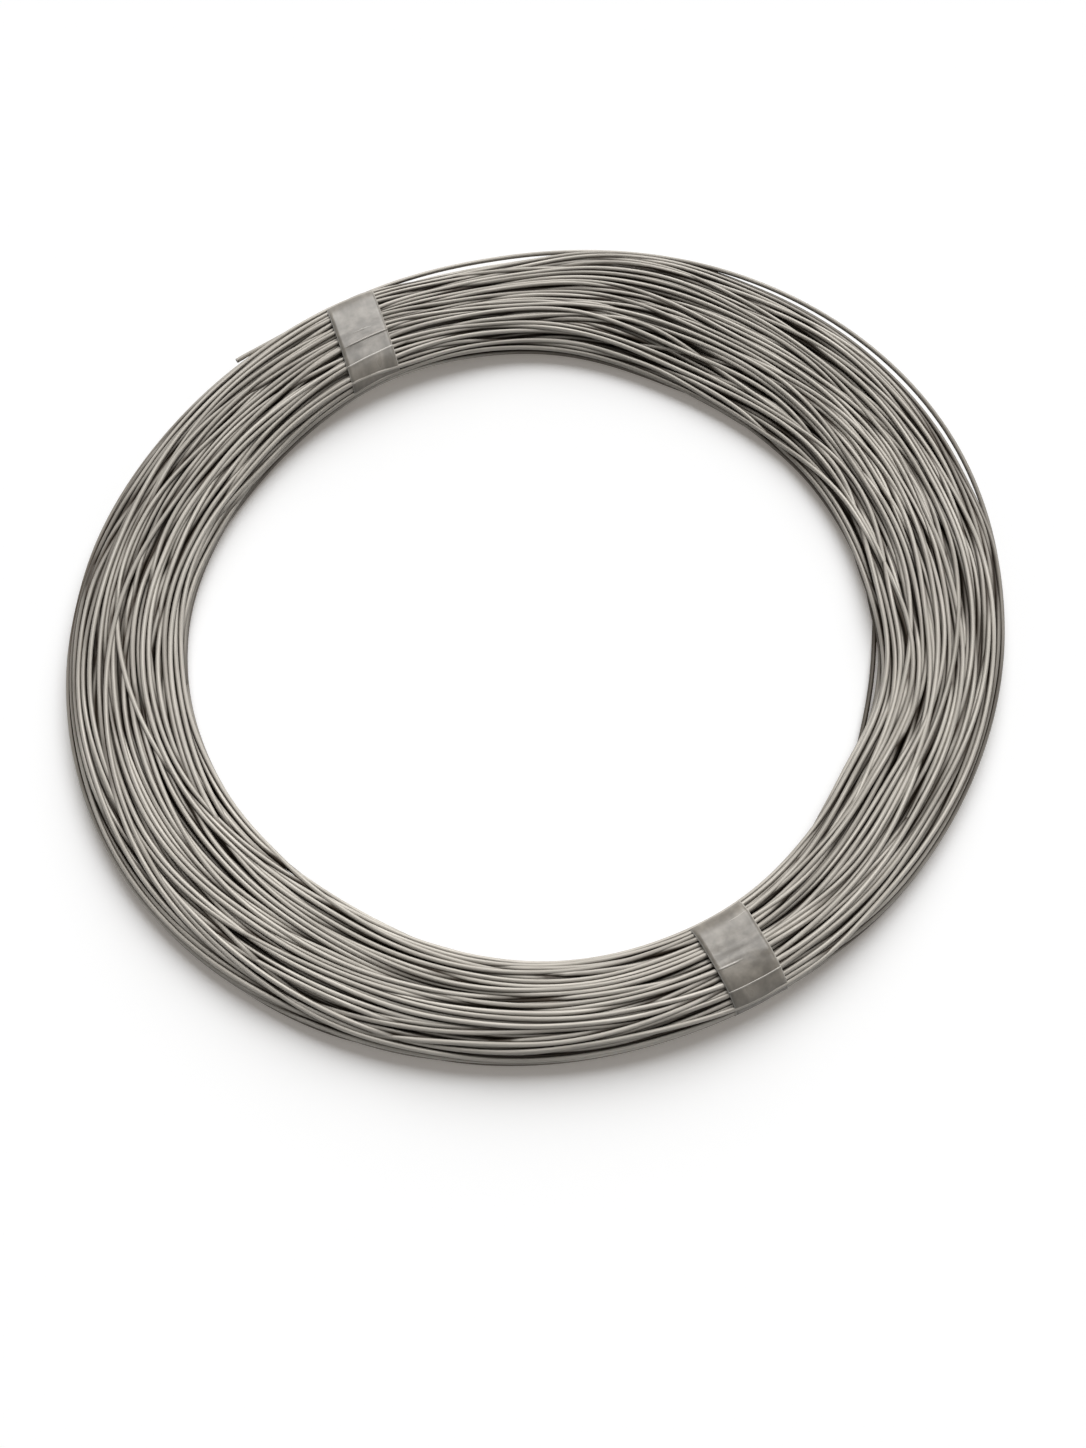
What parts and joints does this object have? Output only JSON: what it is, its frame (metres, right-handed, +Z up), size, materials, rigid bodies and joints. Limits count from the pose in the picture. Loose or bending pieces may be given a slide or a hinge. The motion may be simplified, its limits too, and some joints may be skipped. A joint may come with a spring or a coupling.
{
  "type": "coil of tension wire",
  "caption": "Flat coil of galvanised steel tension wire, many loose turns round an open bore, held by bands of grey tape; a cut end of the wire shows at the outer edge.",
  "frame": {"origin": "middle of the coil's plan, on the floor that the coil lies on", "axes": "+Z up through the bore; the coil lies in the XY plane, its front tape band towards -Y and +X, its back band opposite"},
  "size_m": [0.4248, 0.4168, 0.0206],
  "materials": {
    "galvanised_wire": "dull galvanised, warm grey, fine drawn streaks along the wire",
    "grey_tape": "soft PVC tape, slightly glossy, creased"
  },
  "bodies": {
    "root": {"wire_coil": "galvanised_wire", "front_tape_band": "grey_tape", "back_tape_band": "grey_tape"}
  },
  "joints": []
}
